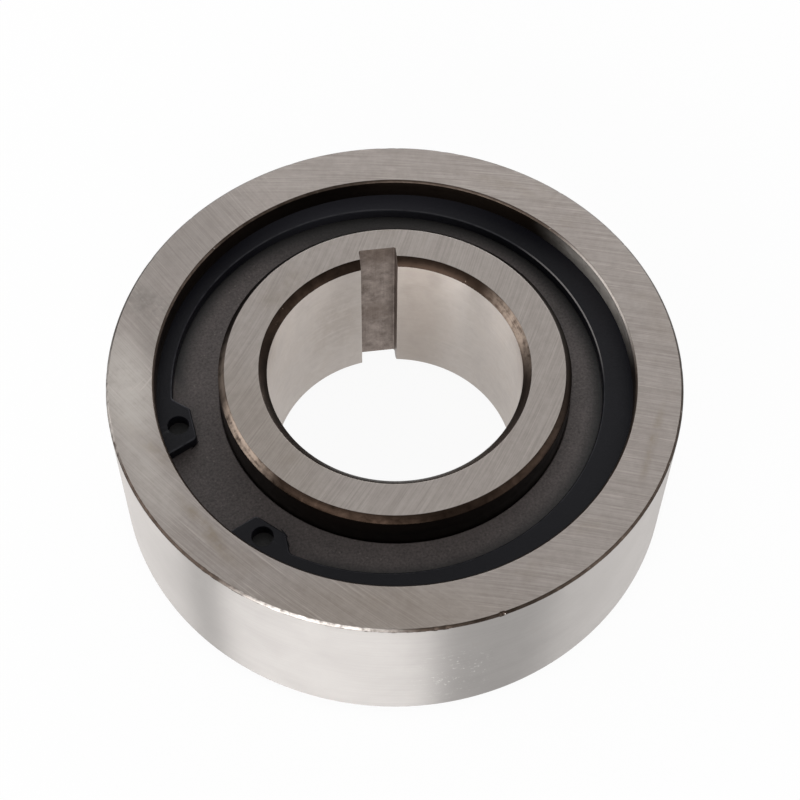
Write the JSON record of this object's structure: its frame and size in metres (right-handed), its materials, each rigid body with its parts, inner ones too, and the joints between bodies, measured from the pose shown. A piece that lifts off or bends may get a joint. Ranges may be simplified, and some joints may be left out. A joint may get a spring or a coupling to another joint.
{
  "type": "sprag clutch",
  "caption": "One-way clutch: a keyed inner ring runs free one way inside a plain outer ring, and spring-loaded sprags between the races lock it the other way.",
  "frame": {"origin": "on the clutch axis, half way between the two end faces", "axes": "+Z runs along the shaft axis, and +Y points from the axis through the keyway"},
  "size_m": [0.09, 0.09, 0.0296],
  "materials": {
    "ring_steel": "ground faces and a turned, satin outside",
    "hub_steel": "ground faces, brown-stained journal and chamfers",
    "cover_iron": "dull, fine grain",
    "clip_steel": "blackened spring steel, satin",
    "sprag_steel": "hardened and polished",
    "spring_steel": "drawn wire, closely wound"
  },
  "bodies": {
    "outer_ring": {"outer_ring": "ring_steel", "upper_cover": "cover_iron", "lower_cover": "cover_iron", "upper_circlip": "clip_steel", "lower_circlip": "clip_steel", "upper_garter_spring": "spring_steel", "lower_garter_spring": "spring_steel"},
    "inner_ring": {"inner_ring": "hub_steel"},
    "sprag_01": {"sprag_01": "sprag_steel"},
    "sprag_02": {"sprag_02": "sprag_steel"},
    "sprag_03": {"sprag_03": "sprag_steel"},
    "sprag_04": {"sprag_04": "sprag_steel"},
    "sprag_05": {"sprag_05": "sprag_steel"},
    "sprag_06": {"sprag_06": "sprag_steel"},
    "sprag_07": {"sprag_07": "sprag_steel"},
    "sprag_08": {"sprag_08": "sprag_steel"},
    "sprag_09": {"sprag_09": "sprag_steel"},
    "sprag_10": {"sprag_10": "sprag_steel"},
    "sprag_11": {"sprag_11": "sprag_steel"},
    "sprag_12": {"sprag_12": "sprag_steel"},
    "sprag_13": {"sprag_13": "sprag_steel"},
    "sprag_14": {"sprag_14": "sprag_steel"},
    "sprag_15": {"sprag_15": "sprag_steel"},
    "sprag_16": {"sprag_16": "sprag_steel"},
    "sprag_17": {"sprag_17": "sprag_steel"},
    "sprag_18": {"sprag_18": "sprag_steel"},
    "sprag_19": {"sprag_19": "sprag_steel"},
    "sprag_20": {"sprag_20": "sprag_steel"},
    "sprag_21": {"sprag_21": "sprag_steel"},
    "sprag_22": {"sprag_22": "sprag_steel"},
    "sprag_23": {"sprag_23": "sprag_steel"},
    "sprag_24": {"sprag_24": "sprag_steel"},
    "sprag_25": {"sprag_25": "sprag_steel"},
    "sprag_26": {"sprag_26": "sprag_steel"},
    "sprag_27": {"sprag_27": "sprag_steel"},
    "sprag_28": {"sprag_28": "sprag_steel"}
  },
  "joints": [
    {"name": "inner_ring_turn", "type": "hinge", "parent": "outer_ring", "child": "inner_ring", "pos_m": [0, 0, 0], "axis": [0, 0, 1], "range_deg": [0, 450]},
    {"name": "sprag_01_tilt", "type": "hinge", "parent": "outer_ring", "child": "sprag_01", "pos_m": [0, 0.03227, 0], "axis": [0, 0, -1], "range_deg": [0, 4], "stiffness_Nm_per_rad": 0.02, "springref_deg": -11.46},
    {"name": "sprag_02_tilt", "type": "hinge", "parent": "outer_ring", "child": "sprag_02", "pos_m": [-0.00718, 0.03146, 0], "axis": [0, 0, -1], "range_deg": [0, 4], "stiffness_Nm_per_rad": 0.02, "springref_deg": -11.46},
    {"name": "sprag_03_tilt", "type": "hinge", "parent": "outer_ring", "child": "sprag_03", "pos_m": [-0.014, 0.02907, 0], "axis": [0, 0, -1], "range_deg": [0, 4], "stiffness_Nm_per_rad": 0.02, "springref_deg": -11.46},
    {"name": "sprag_04_tilt", "type": "hinge", "parent": "outer_ring", "child": "sprag_04", "pos_m": [-0.02012, 0.02523, 0], "axis": [0, 0, -1], "range_deg": [0, 4], "stiffness_Nm_per_rad": 0.02, "springref_deg": -11.46},
    {"name": "sprag_05_tilt", "type": "hinge", "parent": "outer_ring", "child": "sprag_05", "pos_m": [-0.02523, 0.02012, 0], "axis": [0, 0, -1], "range_deg": [0, 4], "stiffness_Nm_per_rad": 0.02, "springref_deg": -11.46},
    {"name": "sprag_06_tilt", "type": "hinge", "parent": "outer_ring", "child": "sprag_06", "pos_m": [-0.02907, 0.014, 0], "axis": [0, 0, -1], "range_deg": [0, 4], "stiffness_Nm_per_rad": 0.02, "springref_deg": -11.46},
    {"name": "sprag_07_tilt", "type": "hinge", "parent": "outer_ring", "child": "sprag_07", "pos_m": [-0.03146, 0.00718, 0], "axis": [0, 0, -1], "range_deg": [0, 4], "stiffness_Nm_per_rad": 0.02, "springref_deg": -11.46},
    {"name": "sprag_08_tilt", "type": "hinge", "parent": "outer_ring", "child": "sprag_08", "pos_m": [-0.03227, 0, 0], "axis": [0, 0, -1], "range_deg": [0, 4], "stiffness_Nm_per_rad": 0.02, "springref_deg": -11.46},
    {"name": "sprag_09_tilt", "type": "hinge", "parent": "outer_ring", "child": "sprag_09", "pos_m": [-0.03146, -0.00718, 0], "axis": [0, 0, -1], "range_deg": [0, 4], "stiffness_Nm_per_rad": 0.02, "springref_deg": -11.46},
    {"name": "sprag_10_tilt", "type": "hinge", "parent": "outer_ring", "child": "sprag_10", "pos_m": [-0.02907, -0.014, 0], "axis": [0, 0, -1], "range_deg": [0, 4], "stiffness_Nm_per_rad": 0.02, "springref_deg": -11.46},
    {"name": "sprag_11_tilt", "type": "hinge", "parent": "outer_ring", "child": "sprag_11", "pos_m": [-0.02523, -0.02012, 0], "axis": [0, 0, -1], "range_deg": [0, 4], "stiffness_Nm_per_rad": 0.02, "springref_deg": -11.46},
    {"name": "sprag_12_tilt", "type": "hinge", "parent": "outer_ring", "child": "sprag_12", "pos_m": [-0.02012, -0.02523, 0], "axis": [0, 0, -1], "range_deg": [0, 4], "stiffness_Nm_per_rad": 0.02, "springref_deg": -11.46},
    {"name": "sprag_13_tilt", "type": "hinge", "parent": "outer_ring", "child": "sprag_13", "pos_m": [-0.014, -0.02907, 0], "axis": [0, 0, -1], "range_deg": [0, 4], "stiffness_Nm_per_rad": 0.02, "springref_deg": -11.46},
    {"name": "sprag_14_tilt", "type": "hinge", "parent": "outer_ring", "child": "sprag_14", "pos_m": [-0.00718, -0.03146, 0], "axis": [0, 0, -1], "range_deg": [0, 4], "stiffness_Nm_per_rad": 0.02, "springref_deg": -11.46},
    {"name": "sprag_15_tilt", "type": "hinge", "parent": "outer_ring", "child": "sprag_15", "pos_m": [0, -0.03227, 0], "axis": [0, 0, -1], "range_deg": [0, 4], "stiffness_Nm_per_rad": 0.02, "springref_deg": -11.46},
    {"name": "sprag_16_tilt", "type": "hinge", "parent": "outer_ring", "child": "sprag_16", "pos_m": [0.00718, -0.03146, 0], "axis": [0, 0, -1], "range_deg": [0, 4], "stiffness_Nm_per_rad": 0.02, "springref_deg": -11.46},
    {"name": "sprag_17_tilt", "type": "hinge", "parent": "outer_ring", "child": "sprag_17", "pos_m": [0.014, -0.02907, 0], "axis": [0, 0, -1], "range_deg": [0, 4], "stiffness_Nm_per_rad": 0.02, "springref_deg": -11.46},
    {"name": "sprag_18_tilt", "type": "hinge", "parent": "outer_ring", "child": "sprag_18", "pos_m": [0.02012, -0.02523, 0], "axis": [0, 0, -1], "range_deg": [0, 4], "stiffness_Nm_per_rad": 0.02, "springref_deg": -11.46},
    {"name": "sprag_19_tilt", "type": "hinge", "parent": "outer_ring", "child": "sprag_19", "pos_m": [0.02523, -0.02012, 0], "axis": [0, 0, -1], "range_deg": [0, 4], "stiffness_Nm_per_rad": 0.02, "springref_deg": -11.46},
    {"name": "sprag_20_tilt", "type": "hinge", "parent": "outer_ring", "child": "sprag_20", "pos_m": [0.02907, -0.014, 0], "axis": [0, 0, -1], "range_deg": [0, 4], "stiffness_Nm_per_rad": 0.02, "springref_deg": -11.46},
    {"name": "sprag_21_tilt", "type": "hinge", "parent": "outer_ring", "child": "sprag_21", "pos_m": [0.03146, -0.00718, 0], "axis": [0, 0, -1], "range_deg": [0, 4], "stiffness_Nm_per_rad": 0.02, "springref_deg": -11.46},
    {"name": "sprag_22_tilt", "type": "hinge", "parent": "outer_ring", "child": "sprag_22", "pos_m": [0.03227, 0, 0], "axis": [0, 0, -1], "range_deg": [0, 4], "stiffness_Nm_per_rad": 0.02, "springref_deg": -11.46},
    {"name": "sprag_23_tilt", "type": "hinge", "parent": "outer_ring", "child": "sprag_23", "pos_m": [0.03146, 0.00718, 0], "axis": [0, 0, -1], "range_deg": [0, 4], "stiffness_Nm_per_rad": 0.02, "springref_deg": -11.46},
    {"name": "sprag_24_tilt", "type": "hinge", "parent": "outer_ring", "child": "sprag_24", "pos_m": [0.02907, 0.014, 0], "axis": [0, 0, -1], "range_deg": [0, 4], "stiffness_Nm_per_rad": 0.02, "springref_deg": -11.46},
    {"name": "sprag_25_tilt", "type": "hinge", "parent": "outer_ring", "child": "sprag_25", "pos_m": [0.02523, 0.02012, 0], "axis": [0, 0, -1], "range_deg": [0, 4], "stiffness_Nm_per_rad": 0.02, "springref_deg": -11.46},
    {"name": "sprag_26_tilt", "type": "hinge", "parent": "outer_ring", "child": "sprag_26", "pos_m": [0.02012, 0.02523, 0], "axis": [0, 0, -1], "range_deg": [0, 4], "stiffness_Nm_per_rad": 0.02, "springref_deg": -11.46},
    {"name": "sprag_27_tilt", "type": "hinge", "parent": "outer_ring", "child": "sprag_27", "pos_m": [0.014, 0.02907, 0], "axis": [0, 0, -1], "range_deg": [0, 4], "stiffness_Nm_per_rad": 0.02, "springref_deg": -11.46},
    {"name": "sprag_28_tilt", "type": "hinge", "parent": "outer_ring", "child": "sprag_28", "pos_m": [0.00718, 0.03146, 0], "axis": [0, 0, -1], "range_deg": [0, 4], "stiffness_Nm_per_rad": 0.02, "springref_deg": -11.46}
  ],
  "couplings": [
    {"joint": "sprag_02_tilt", "follows": "sprag_01_tilt", "ratio": 1},
    {"joint": "sprag_03_tilt", "follows": "sprag_01_tilt", "ratio": 1},
    {"joint": "sprag_04_tilt", "follows": "sprag_01_tilt", "ratio": 1},
    {"joint": "sprag_05_tilt", "follows": "sprag_01_tilt", "ratio": 1},
    {"joint": "sprag_06_tilt", "follows": "sprag_01_tilt", "ratio": 1},
    {"joint": "sprag_07_tilt", "follows": "sprag_01_tilt", "ratio": 1},
    {"joint": "sprag_08_tilt", "follows": "sprag_01_tilt", "ratio": 1},
    {"joint": "sprag_09_tilt", "follows": "sprag_01_tilt", "ratio": 1},
    {"joint": "sprag_10_tilt", "follows": "sprag_01_tilt", "ratio": 1},
    {"joint": "sprag_11_tilt", "follows": "sprag_01_tilt", "ratio": 1},
    {"joint": "sprag_12_tilt", "follows": "sprag_01_tilt", "ratio": 1},
    {"joint": "sprag_13_tilt", "follows": "sprag_01_tilt", "ratio": 1},
    {"joint": "sprag_14_tilt", "follows": "sprag_01_tilt", "ratio": 1},
    {"joint": "sprag_15_tilt", "follows": "sprag_01_tilt", "ratio": 1},
    {"joint": "sprag_16_tilt", "follows": "sprag_01_tilt", "ratio": 1},
    {"joint": "sprag_17_tilt", "follows": "sprag_01_tilt", "ratio": 1},
    {"joint": "sprag_18_tilt", "follows": "sprag_01_tilt", "ratio": 1},
    {"joint": "sprag_19_tilt", "follows": "sprag_01_tilt", "ratio": 1},
    {"joint": "sprag_20_tilt", "follows": "sprag_01_tilt", "ratio": 1},
    {"joint": "sprag_21_tilt", "follows": "sprag_01_tilt", "ratio": 1},
    {"joint": "sprag_22_tilt", "follows": "sprag_01_tilt", "ratio": 1},
    {"joint": "sprag_23_tilt", "follows": "sprag_01_tilt", "ratio": 1},
    {"joint": "sprag_24_tilt", "follows": "sprag_01_tilt", "ratio": 1},
    {"joint": "sprag_25_tilt", "follows": "sprag_01_tilt", "ratio": 1},
    {"joint": "sprag_26_tilt", "follows": "sprag_01_tilt", "ratio": 1},
    {"joint": "sprag_27_tilt", "follows": "sprag_01_tilt", "ratio": 1},
    {"joint": "sprag_28_tilt", "follows": "sprag_01_tilt", "ratio": 1}
  ]
}
